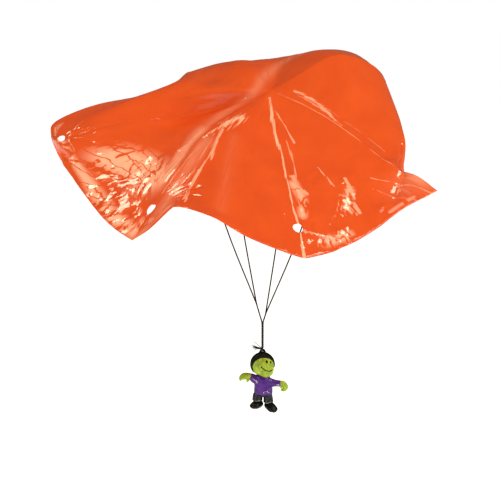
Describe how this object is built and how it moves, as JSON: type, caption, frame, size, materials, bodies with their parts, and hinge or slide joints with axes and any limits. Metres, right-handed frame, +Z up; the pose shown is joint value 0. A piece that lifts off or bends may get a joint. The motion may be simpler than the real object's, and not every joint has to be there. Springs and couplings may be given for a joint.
{
  "type": "toy parachute",
  "caption": "Round thin-film toy parachute with punched rim holes, thread lines gathered to a twisted trunk and a small moulded hanging figure.",
  "frame": {"origin": "the canopy's crown, the middle of its round sheet, where the open parachute is held up", "axes": "+Z up, the figure hangs towards -Z; -Y is the front that the picture shows; +X to its right"},
  "size_m": [0.2824, 0.3009, 0.2805],
  "materials": {
    "film": "glossy thin film",
    "thread": "matt twisted thread",
    "skin": "satin vinyl",
    "hair": "satin vinyl",
    "ink": "satin paint",
    "shirt": "glossy vinyl",
    "trousers": "satin vinyl",
    "shoe": "glossy vinyl"
  },
  "bodies": {
    "canopy": {"canopy_film": "film", "tie_loop_1": "thread", "tie_knot_1": "thread", "tie_loop_2": "thread", "tie_knot_2": "thread", "tie_loop_3": "thread", "tie_knot_3": "thread", "tie_loop_4": "thread", "tie_knot_4": "thread", "line_1": "thread", "line_2": "thread", "line_3": "thread", "line_4": "thread"},
    "gather": {"gather_knot": "thread"},
    "trunk": {"trunk_cord": "thread"},
    "tie_off": {"head_knot": "thread", "head_loop": "thread", "loose_end_1": "thread", "loose_end_2": "thread", "loose_end_3": "thread", "loose_end_4": "thread"},
    "figure": {"head": "skin", "hair": "hair", "hanging_nub": "hair", "eye_left": "ink", "eye_right": "ink", "mouth": "ink", "shirt": "shirt", "arm_left": "skin", "arm_right": "skin", "trousers": "trousers", "shoe_left": "shoe", "shoe_right": "shoe"}
  },
  "joints": [
    {"name": "swing_front_back", "type": "hinge", "parent": "canopy", "child": "gather", "pos_m": [-0.0053, 0.04, -0.18], "axis": [1, 0, 0], "range_deg": [-60, 60]},
    {"name": "swing_side", "type": "hinge", "parent": "gather", "child": "trunk", "pos_m": [-0.0053, 0.04, -0.18], "axis": [0, 1, 0], "range_deg": [-60, 60]},
    {"name": "thread_twist", "type": "hinge", "parent": "trunk", "child": "tie_off", "pos_m": [-0.0053, 0.04, -0.1991], "axis": [0, 0, 1], "continuous": true},
    {"name": "figure_rock", "type": "hinge", "parent": "tie_off", "child": "figure", "pos_m": [-0.0053, 0.04, -0.2018], "axis": [0, 1, 0], "range_deg": [-20, 20]}
  ]
}
